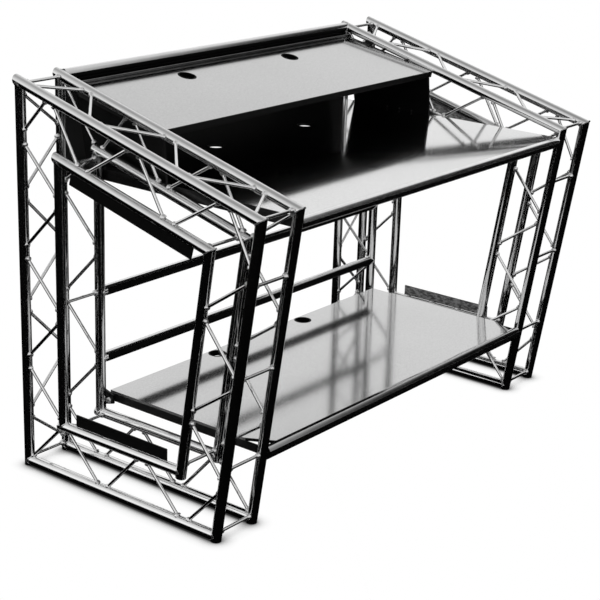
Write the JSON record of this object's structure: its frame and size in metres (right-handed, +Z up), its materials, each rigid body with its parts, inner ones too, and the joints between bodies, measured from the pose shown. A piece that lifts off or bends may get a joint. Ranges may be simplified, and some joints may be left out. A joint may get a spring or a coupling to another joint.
{
  "type": "dj booth",
  "caption": "Free-standing DJ booth: laced box-truss end frames carrying a worktop, a lower shelf and a tilted upper shelf, with rear rails and black panels.",
  "frame": {"origin": "on the floor, at the centre of the bounding box seen from above", "axes": "+X to the right of someone standing in front, +Y to the back, +Z up"},
  "size_m": [1.68, 0.9018, 1.1694],
  "materials": {
    "truss_tube": "satin mill tube",
    "lacing_rod": "satin mill rod",
    "black_bar": "satin black",
    "black_edge": "semi gloss",
    "grey_edge": "satin grey",
    "laminate_board": "gloss metal-faced laminate",
    "black_panel": "satin black"
  },
  "bodies": {
    "root": {"back_panel": "black_panel", "end_panel_cleats": "black_panel", "left_bottom_chords_inner": "truss_tube", "left_bottom_chords_outer": "truss_tube", "left_cross_rungs": "lacing_rod", "left_end_panel": "black_panel", "left_front_posts_inner": "truss_tube", "left_front_posts_outer": "truss_tube", "left_lacing_inboard": "lacing_rod", "left_lacing_outboard": "lacing_rod", "left_lacing_rear": "lacing_rod", "left_lacing_top": "lacing_rod", "left_lower_shelf_edge_bar": "black_bar", "left_rear_posts_inner": "truss_tube", "left_rear_posts_outer": "truss_tube", "left_scrim_strip_lower": "black_bar", "left_scrim_strip_upper": "black_bar", "left_scrim_tabs": "lacing_rod", "left_shelf_brackets": "black_bar", "left_top_chords_inner": "truss_tube", "left_top_chords_outer": "truss_tube", "left_upper_shelf_lugs": "black_bar", "left_worktop_edge_bar": "black_bar", "lower_shelf_board": "laminate_board", "lower_shelf_corner_edges": "black_edge", "lower_shelf_nosing": "black_edge", "rear_rail_lower": "truss_tube", "rear_rail_upper": "truss_tube", "rear_top_tube": "truss_tube", "right_bottom_chords_inner": "truss_tube", "right_bottom_chords_outer": "truss_tube", "right_cross_rungs": "lacing_rod", "right_end_panel": "black_panel", "right_front_posts_inner": "truss_tube", "right_front_posts_outer": "truss_tube", "right_lacing_inboard": "lacing_rod", "right_lacing_outboard": "lacing_rod", "right_lacing_rear": "lacing_rod", "right_lacing_top": "lacing_rod", "right_lower_shelf_edge_bar": "black_bar", "right_rear_posts_inner": "truss_tube", "right_rear_posts_outer": "truss_tube", "right_scrim_strip_lower": "black_bar", "right_scrim_strip_upper": "black_bar", "right_scrim_tabs": "lacing_rod", "right_shelf_brackets": "black_bar", "right_top_chords_inner": "truss_tube", "right_top_chords_outer": "truss_tube", "right_upper_shelf_lugs": "black_bar", "right_worktop_edge_bar": "black_bar", "upper_shelf_batten": "grey_edge", "upper_shelf_board": "laminate_board", "upper_shelf_front_edge": "black_edge", "worktop_board": "laminate_board", "worktop_nosing": "black_edge"}
  },
  "joints": []
}
